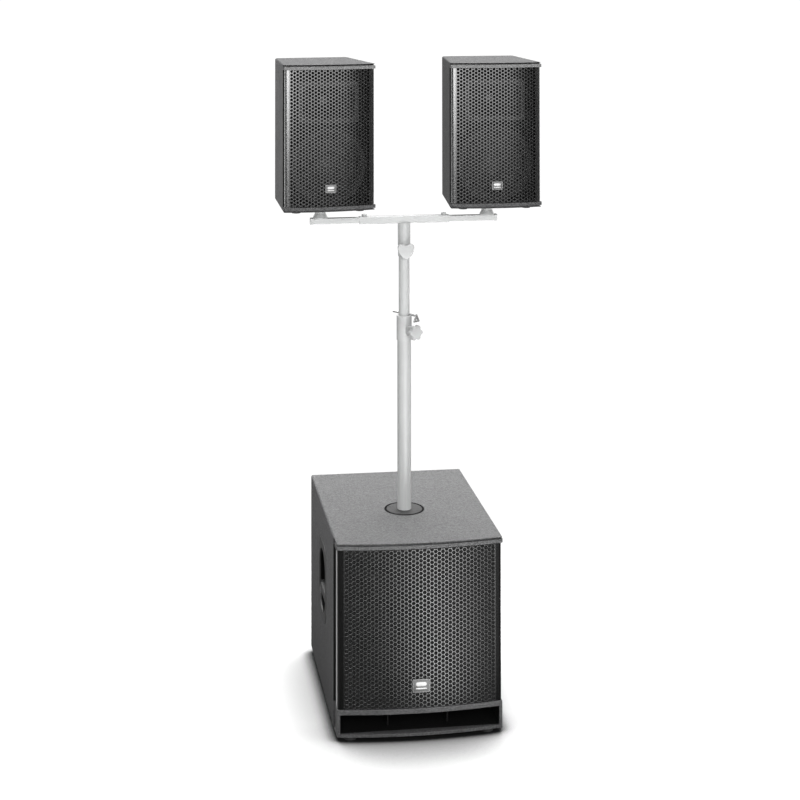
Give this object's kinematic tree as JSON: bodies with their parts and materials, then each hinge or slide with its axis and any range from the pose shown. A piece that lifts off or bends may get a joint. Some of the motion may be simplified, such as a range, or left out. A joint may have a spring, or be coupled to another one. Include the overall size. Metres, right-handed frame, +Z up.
{
  "type": "pa speaker",
  "caption": "Compact powered loudspeaker system: a ported floor subwoofer, a telescopic pole with a sliding cross bar, and matching perforated satellite cabinets that turn on spigots.",
  "frame": {"origin": "on the floor, under the centre of the subwoofer's cabinet footprint between its front corners and its back", "axes": "+Z up, the speaker fronts face -Y, +X to the right when looking at the front"},
  "size_m": [0.7135, 0.623, 1.754],
  "materials": {
    "cabinet_paint": "fine textured black paint",
    "black_board": "black stained board",
    "grille_steel": "black powder coat",
    "foam": "open-cell foam",
    "badge_metal": "brushed",
    "basket_steel": "black semi-matt",
    "magnet_ferrite": "dark ferrite",
    "surround_rubber": "matt",
    "cone_paper": "coated paper, matt",
    "spider_cloth": "impregnated cloth",
    "black_plastic": "moulded, fine grain",
    "foot_rubber": "matt",
    "flange_cast": "black coated casting",
    "screw_black": "blackened steel",
    "amp_panel": "black powder coat",
    "heat_sink_alu": "black anodised",
    "board_green": "circuit board",
    "copper_coil": "varnished winding",
    "socket_plastic": "moulded",
    "knob_plastic": "soft matt",
    "stand_metal": "pale grey satin",
    "stand_plastic": "pale grey moulded",
    "pin_steel": "polished"
  },
  "bodies": {
    "subwoofer": {"sub_cabinet": "cabinet_paint", "sub_baffle": "black_board", "port_shelf": "cabinet_paint", "port_ribs": "cabinet_paint", "sub_grille": "grille_steel", "grille_foam": "foam", "sub_badge": "badge_metal", "woofer_basket": "basket_steel", "woofer_magnet": "magnet_ferrite", "woofer_surround": "surround_rubber", "woofer_spider": "spider_cloth", "side_handles": "black_plastic", "feet": "foot_rubber", "pole_flange": "flange_cast", "panel_screws": "screw_black", "woofer_bolts": "screw_black", "amp_plate": "amp_panel", "heat_sink": "heat_sink_alu", "amp_board": "board_green", "power_transformer": "copper_coil", "signal_sockets": "socket_plastic", "speaker_outputs": "socket_plastic", "mains_inlet": "socket_plastic", "lower_pole": "stand_metal", "clamp_collar": "stand_plastic"},
    "woofer_diaphragm": {"woofer_cone": "cone_paper"},
    "main_level": {"main_knob": "knob_plastic"},
    "sub_level": {"sub_knob": "knob_plastic"},
    "high_level": {"high_knob": "knob_plastic"},
    "power_rocker": {"power_switch": "socket_plastic"},
    "lift_slider": {"lift_switch": "socket_plastic"},
    "clamp_screw": {"clamp_knob": "stand_plastic"},
    "height_pole": {"upper_pole": "stand_metal"},
    "lock_pin": {"safety_pin": "pin_steel"},
    "cross_bar": {"t_bar": "stand_metal"},
    "cross_bar_knob": {"t_bar_knob": "stand_plastic"},
    "left_slide": {"left_arm": "stand_metal"},
    "right_slide": {"right_arm": "stand_metal"},
    "left_thumb_screw": {"left_arm_screw": "stand_metal"},
    "right_thumb_screw": {"right_arm_screw": "stand_metal"},
    "left_satellite": {"left_cabinet": "cabinet_paint", "left_grille": "grille_steel", "left_badge": "badge_metal", "left_woofer_frame": "basket_steel", "left_horn": "black_plastic", "left_high_driver": "magnet_ferrite", "left_pole_socket": "black_plastic", "left_terminal_plate": "black_plastic", "left_feet": "foot_rubber"},
    "left_diaphragm": {"left_woofer_cone": "cone_paper"},
    "right_satellite": {"right_cabinet": "cabinet_paint", "right_grille": "grille_steel", "right_badge": "badge_metal", "right_woofer_frame": "basket_steel", "right_horn": "black_plastic", "right_high_driver": "magnet_ferrite", "right_pole_socket": "black_plastic", "right_terminal_plate": "black_plastic", "right_feet": "foot_rubber"},
    "right_diaphragm": {"right_woofer_cone": "cone_paper"}
  },
  "joints": [
    {"name": "woofer_travel", "type": "slide", "parent": "subwoofer", "child": "woofer_diaphragm", "axis": [0, -1, 0], "range_m": [-0.007, 0.007], "stiffness_N_per_m": 4000},
    {"name": "main_level_turn", "type": "hinge", "parent": "subwoofer", "child": "main_level", "pos_m": [-0.088, 0.2935, 0.402], "axis": [0, 1, 0], "range_deg": [-150, 150]},
    {"name": "sub_level_turn", "type": "hinge", "parent": "subwoofer", "child": "sub_level", "pos_m": [-0.088, 0.2935, 0.358], "axis": [0, 1, 0], "range_deg": [-150, 150]},
    {"name": "high_level_turn", "type": "hinge", "parent": "subwoofer", "child": "high_level", "pos_m": [-0.088, 0.2935, 0.314], "axis": [0, 1, 0], "range_deg": [-150, 150]},
    {"name": "power_rocker_tilt", "type": "hinge", "parent": "subwoofer", "child": "power_rocker", "pos_m": [-0.086, 0.2875, 0.154], "axis": [1, 0, 0], "range_deg": [-16, 0]},
    {"name": "lift_slider_travel", "type": "slide", "parent": "subwoofer", "child": "lift_slider", "axis": [-1, 0, 0], "range_m": [0, 0.004]},
    {"name": "clamp_screw_turn", "type": "hinge", "parent": "subwoofer", "child": "clamp_screw", "pos_m": [0.02113, -0.07973, 1.007], "axis": [0.4695, -0.8829, 0], "range_deg": [0, 360]},
    {"name": "pole_height", "type": "slide", "parent": "subwoofer", "child": "height_pole", "axis": [0, 0, 1], "range_m": [0, 0.3]},
    {"name": "lock_pin_pull", "type": "slide", "parent": "height_pole", "child": "lock_pin", "axis": [0.6157, -0.788, 0], "range_m": [0, 0.07]},
    {"name": "cross_bar_turn", "type": "hinge", "parent": "height_pole", "child": "cross_bar", "pos_m": [0, -0.04, 1.252], "axis": [0, 0, 1], "continuous": true},
    {"name": "cross_bar_knob_turn", "type": "hinge", "parent": "cross_bar", "child": "cross_bar_knob", "pos_m": [0, -0.07, 1.229], "axis": [0, -1, 0], "continuous": true},
    {"name": "left_arm_slide", "type": "slide", "parent": "cross_bar", "child": "left_slide", "axis": [-1, 0, 0], "range_m": [-0.03, 0.05]},
    {"name": "right_arm_slide", "type": "slide", "parent": "cross_bar", "child": "right_slide", "axis": [1, 0, 0], "range_m": [-0.03, 0.05]},
    {"name": "left_thumb_screw_turn", "type": "hinge", "parent": "cross_bar", "child": "left_thumb_screw", "pos_m": [-0.112, -0.04, 1.325], "axis": [0, 0, 1], "continuous": true},
    {"name": "right_thumb_screw_turn", "type": "hinge", "parent": "cross_bar", "child": "right_thumb_screw", "pos_m": [0.112, -0.04, 1.325], "axis": [0, 0, 1], "continuous": true},
    {"name": "left_satellite_swivel", "type": "hinge", "parent": "left_slide", "child": "left_satellite", "pos_m": [-0.235, -0.04, 1.358], "axis": [0, 0, 1], "range_deg": [-90, 90]},
    {"name": "right_satellite_swivel", "type": "hinge", "parent": "right_slide", "child": "right_satellite", "pos_m": [0.235, -0.04, 1.358], "axis": [0, 0, 1], "range_deg": [-90, 90]},
    {"name": "left_woofer_travel", "type": "slide", "parent": "left_satellite", "child": "left_diaphragm", "axis": [0.0958, -0.9954, 0], "range_m": [-0.004, 0.004], "stiffness_N_per_m": 3000},
    {"name": "right_woofer_travel", "type": "slide", "parent": "right_satellite", "child": "right_diaphragm", "axis": [0, -1, 0], "range_m": [-0.004, 0.004], "stiffness_N_per_m": 3000}
  ]
}
